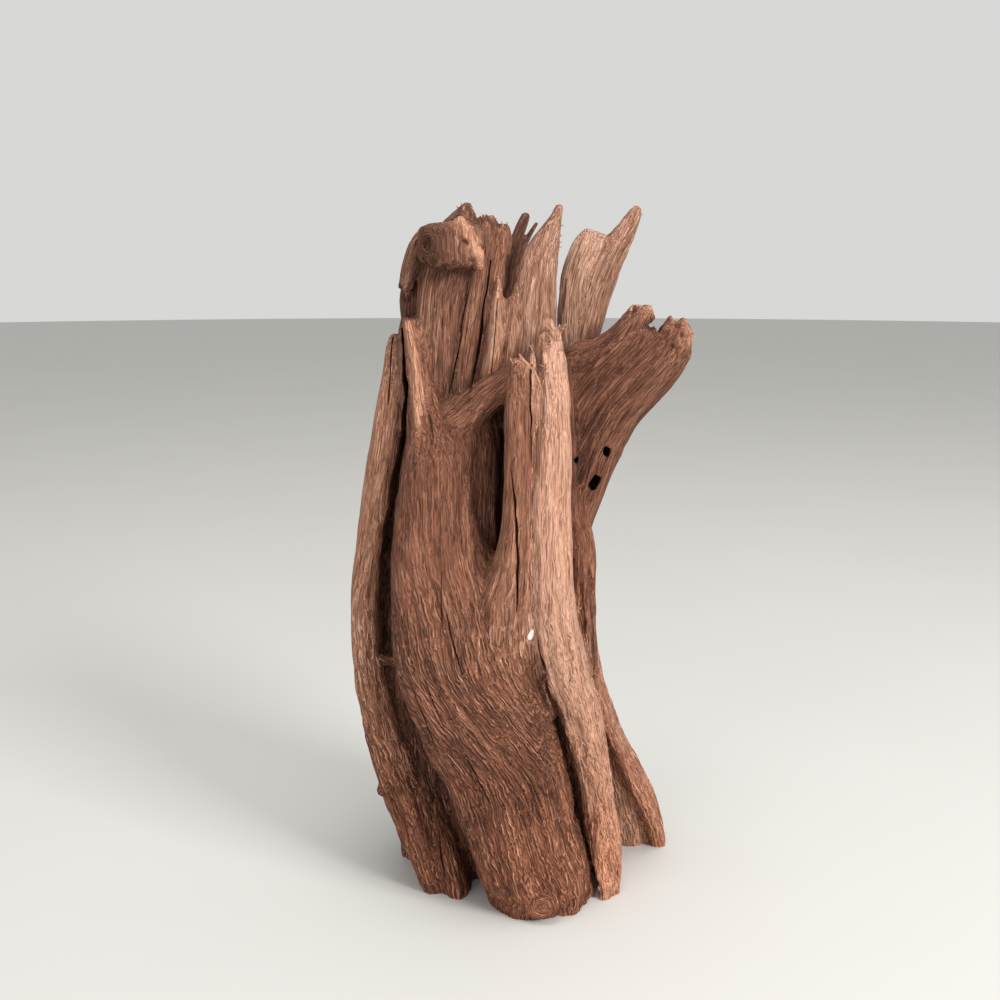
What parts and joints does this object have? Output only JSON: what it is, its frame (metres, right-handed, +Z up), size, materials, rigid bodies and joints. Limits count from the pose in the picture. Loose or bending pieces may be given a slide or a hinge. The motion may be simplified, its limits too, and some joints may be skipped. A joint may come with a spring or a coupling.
{
  "type": "driftwood sculpture",
  "caption": "Weathered driftwood stump fragment that stands upright, with deep clefts along the grain, a crown of torn splinters and a broken branch stub.",
  "frame": {"origin": "on the ground, under the centre of the bounding box", "axes": "+Z up along the grain, -Y towards the broad shin that faces the viewer, +X towards the branch stub"},
  "size_m": [0.092, 0.0628, 0.1902],
  "materials": {
    "driftwood": "matte, weathered, reddish brown"
  },
  "bodies": {
    "root": {"driftwood": "driftwood"}
  },
  "joints": []
}
